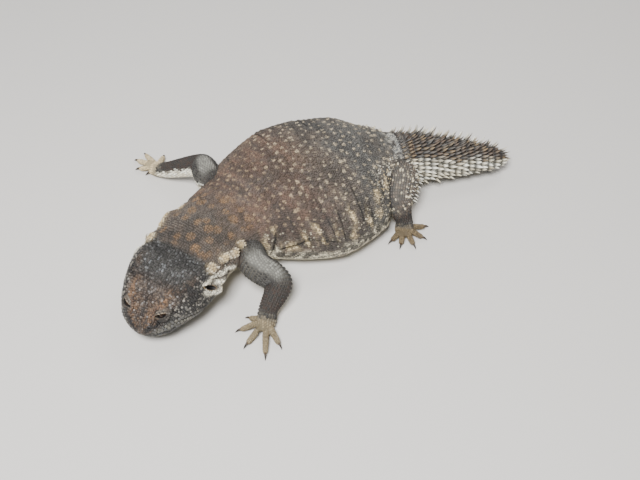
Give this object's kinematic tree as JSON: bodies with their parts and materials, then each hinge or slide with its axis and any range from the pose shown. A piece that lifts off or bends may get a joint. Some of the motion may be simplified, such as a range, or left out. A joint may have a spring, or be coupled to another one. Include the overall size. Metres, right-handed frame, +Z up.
{
  "type": "still uromastyx lizard model",
  "caption": "Life-size still model of a spiny-tailed lizard at rest, with its head lowered and turned, its legs spread and its tail ringed with spines.",
  "frame": {"origin": "on the floor under the middle of the belly", "axes": "+X from the head towards the tail, +Y to the animal's right, +Z up"},
  "size_m": [0.2398, 0.1672, 0.0384],
  "materials": {
    "dark_scales": "matt scaled skin, dark grey-brown with cream spots",
    "pale_scales": "matt scaled skin, pale tan",
    "tail_spines": "horny pointed scales in rings, cream and dark grey",
    "eye": "wet gloss"
  },
  "bodies": {
    "root": {"head": "dark_scales", "neck": "dark_scales", "torso": "dark_scales", "tail_root": "tail_spines", "tail_middle": "tail_spines", "tail_end": "tail_spines", "left_eye": "eye", "right_eye": "eye", "left_fore_upper": "dark_scales", "left_fore_lower": "dark_scales", "left_fore_foot": "pale_scales", "left_hind_upper": "dark_scales", "left_hind_lower": "dark_scales", "left_hind_foot": "pale_scales", "right_fore_upper": "dark_scales", "right_fore_lower": "dark_scales", "right_fore_foot": "pale_scales", "right_hind_upper": "dark_scales", "right_hind_lower": "dark_scales", "right_hind_foot": "pale_scales"}
  },
  "joints": []
}
